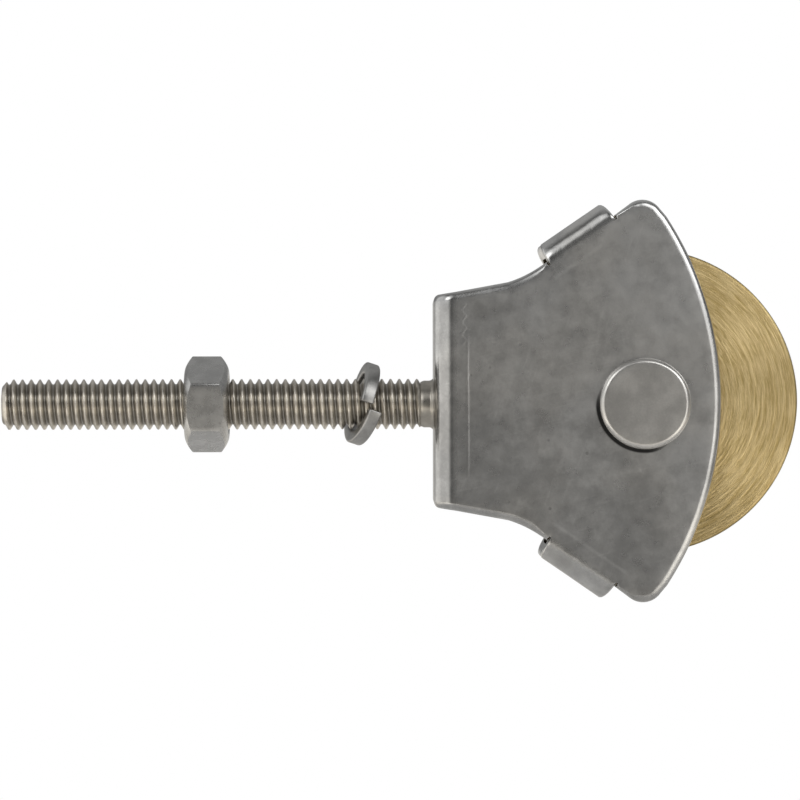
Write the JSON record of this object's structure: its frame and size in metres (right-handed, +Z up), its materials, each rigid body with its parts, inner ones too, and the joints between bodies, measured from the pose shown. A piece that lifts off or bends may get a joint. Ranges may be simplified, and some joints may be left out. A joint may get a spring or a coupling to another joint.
{
  "type": "single line pulley",
  "caption": "Single pulley: grooved brass wheel between the fan-shaped cheeks of a folded stainless bracket, on a threaded stud with a nut and a split lock washer.",
  "frame": {"origin": "the point of the web's outer face on the stud's axis, 0.3 mm below the web's middle", "axes": "+X from the web towards the wheel, with the stud pointing along -X; Y along the wheel's axle; +Z up across the cheeks"},
  "size_m": [0.0902, 0.0165, 0.0454],
  "materials": {
    "cheek_steel": "tumbled satin stainless sheet with light scratches",
    "thread_steel": "rolled bright stainless thread",
    "rivet_steel": "satin, slightly pitted",
    "sleeve_steel": "turned",
    "wheel_brass": "turned faces with concentric tool marks",
    "nut_steel": "pressed, satin",
    "washer_steel": "drawn wire, satin"
  },
  "bodies": {
    "bracket": {"frame": "cheek_steel", "stud_bolt": "thread_steel", "axle_rivet": "rivet_steel", "axle_sleeve": "sleeve_steel"},
    "wheel": {"sheave": "wheel_brass"},
    "nut": {"hex_nut": "nut_steel"},
    "washer": {"lock_washer": "washer_steel"}
  },
  "joints": [
    {"name": "sheave_spin", "type": "hinge", "parent": "bracket", "child": "wheel", "pos_m": [0.0239, 0, 0.0003], "axis": [0, 1, 0], "continuous": true},
    {"name": "nut_travel", "type": "slide", "parent": "bracket", "child": "nut", "axis": [1, 0, 0], "range_m": [-0.0203, 0.0128]},
    {"name": "washer_slide", "type": "slide", "parent": "bracket", "child": "washer", "axis": [1, 0, 0], "range_m": [0, 0.0053]}
  ]
}
